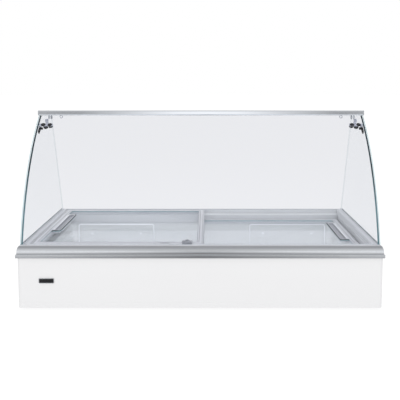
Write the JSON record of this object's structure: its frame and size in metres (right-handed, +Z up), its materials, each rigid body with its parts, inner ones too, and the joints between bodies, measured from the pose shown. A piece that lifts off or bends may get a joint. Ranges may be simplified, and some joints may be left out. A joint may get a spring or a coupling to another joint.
{
  "type": "ice cream dipping cabinet",
  "caption": "Low white counter-top freezer with an aluminium edge, two sliding glass lids over a cold tank and a curved glass guard open at the back.",
  "frame": {"origin": "centre of the footprint at the level of the feet", "axes": "+X to the right seen from the customer's side, +Y to the back, +Z up"},
  "size_m": [1.28, 0.81, 0.682],
  "materials": {
    "white_paint": "gloss powder coat",
    "rail_aluminium": "brushed anodised",
    "galvanised": "galvanised sheet",
    "foam": "polyurethane foam",
    "liner": "pale coated sheet",
    "throat_plastic": "satin grey",
    "track_plastic": "satin grey",
    "lid_plastic": "satin pale grey",
    "lid_glass": "clear flat",
    "guard_glass": "clear tempered, dark green edges",
    "chrome": "polished",
    "lock_metal": "satin",
    "knob_plastic": "black moulded",
    "wire_white": "white plastic coated",
    "badge": "blank dark plate",
    "copper": "drawn tube",
    "black_paint": "satin black",
    "fin_aluminium": "mill finish",
    "fan_aluminium": "pressed",
    "dark_plastic": "moulded",
    "key_plastic": "moulded",
    "rubber": "moulded"
  },
  "bodies": {
    "cabinet": {"base_pan": "galvanised", "front_panel": "white_paint", "left_side_panel": "white_paint", "right_side_panel": "white_paint", "rear_partition": "galvanised", "machine_cover": "white_paint", "insulation_shell": "foam", "tank_liner": "liner", "throat_collar": "throat_plastic", "evaporator_coil": "copper", "badge_plate": "badge", "front_rail": "rail_aluminium", "back_rail": "rail_aluminium", "left_rail": "rail_aluminium", "right_rail": "rail_aluminium", "front_track": "track_plastic", "back_track": "track_plastic", "left_end_trim": "track_plastic", "right_end_trim": "track_plastic", "front_glass": "guard_glass", "left_side_glass": "guard_glass", "right_side_glass": "guard_glass", "top_rail": "rail_aluminium", "left_clamp_bracket": "chrome", "right_clamp_bracket": "chrome", "left_glass_stud": "chrome", "right_glass_stud": "chrome", "left_tub_guard": "wire_white", "right_tub_guard": "wire_white", "compressor": "black_paint", "condenser": "fin_aluminium", "fan_shroud": "dark_plastic", "fan_motor": "galvanised", "filter_drier": "copper", "suction_pipe": "copper", "discharge_pipe": "copper", "control_box": "dark_plastic", "power_inlet": "dark_plastic", "drain_spout": "key_plastic", "foot_front_left": "rubber", "foot_front_right": "rubber", "foot_rear_left": "rubber", "foot_rear_right": "rubber"},
    "left_lid": {"left_lid_frame": "lid_plastic", "left_lid_glass": "lid_glass", "left_lid_handle": "lid_plastic", "lock_body": "lock_metal"},
    "right_lid": {"right_lid_frame": "lid_plastic", "right_lid_glass": "lid_glass", "right_lid_handle": "lid_plastic"},
    "lock_barrel": {"lock_cylinder": "chrome"},
    "left_knob": {"left_clamp_knob": "knob_plastic"},
    "right_knob": {"right_clamp_knob": "knob_plastic"},
    "fan": {"fan_blades": "fan_aluminium"},
    "set_key": {"set_button": "key_plastic"},
    "down_key": {"down_button": "key_plastic"},
    "up_key": {"up_button": "key_plastic"},
    "rocker": {"power_switch": "dark_plastic"},
    "drain_plug": {"drain_cap": "dark_plastic"}
  },
  "joints": [
    {"name": "left_lid_slide", "type": "slide", "parent": "cabinet", "child": "left_lid", "axis": [1, 0, 0], "range_m": [0, 0.58]},
    {"name": "right_lid_slide", "type": "slide", "parent": "cabinet", "child": "right_lid", "axis": [-1, 0, 0], "range_m": [0, 0.58]},
    {"name": "lock_turn", "type": "hinge", "parent": "left_lid", "child": "lock_barrel", "pos_m": [-0.047, -0.348, 0.226], "axis": [0, 0, 1], "range_deg": [0, 90]},
    {"name": "left_knob_turn", "type": "hinge", "parent": "cabinet", "child": "left_knob", "pos_m": [-0.595, -0.11629, 0.62058], "axis": [0, 0.6352, -0.7723], "continuous": true},
    {"name": "right_knob_turn", "type": "hinge", "parent": "cabinet", "child": "right_knob", "pos_m": [0.595, -0.11629, 0.62058], "axis": [0, 0.6352, -0.7723], "continuous": true},
    {"name": "fan_spin", "type": "hinge", "parent": "cabinet", "child": "fan", "pos_m": [-0.156, 0.335, 0.088], "axis": [0, 1, 0], "continuous": true},
    {"name": "set_key_press", "type": "slide", "parent": "cabinet", "child": "set_key", "axis": [0, -1, 0], "range_m": [0, 0.0015], "stiffness_N_per_m": 300},
    {"name": "down_key_press", "type": "slide", "parent": "cabinet", "child": "down_key", "axis": [0, -1, 0], "range_m": [0, 0.0015], "stiffness_N_per_m": 300},
    {"name": "up_key_press", "type": "slide", "parent": "cabinet", "child": "up_key", "axis": [0, -1, 0], "range_m": [0, 0.0015], "stiffness_N_per_m": 300},
    {"name": "rocker_tip", "type": "hinge", "parent": "cabinet", "child": "rocker", "pos_m": [0.484, 0.3922, 0.103], "axis": [1, 0, 0], "range_deg": [-12, 0]},
    {"name": "drain_cap_turn", "type": "hinge", "parent": "cabinet", "child": "drain_plug", "pos_m": [-0.585, 0.4, 0.04], "axis": [0, 1, 0], "range_deg": [0, 360]}
  ]
}
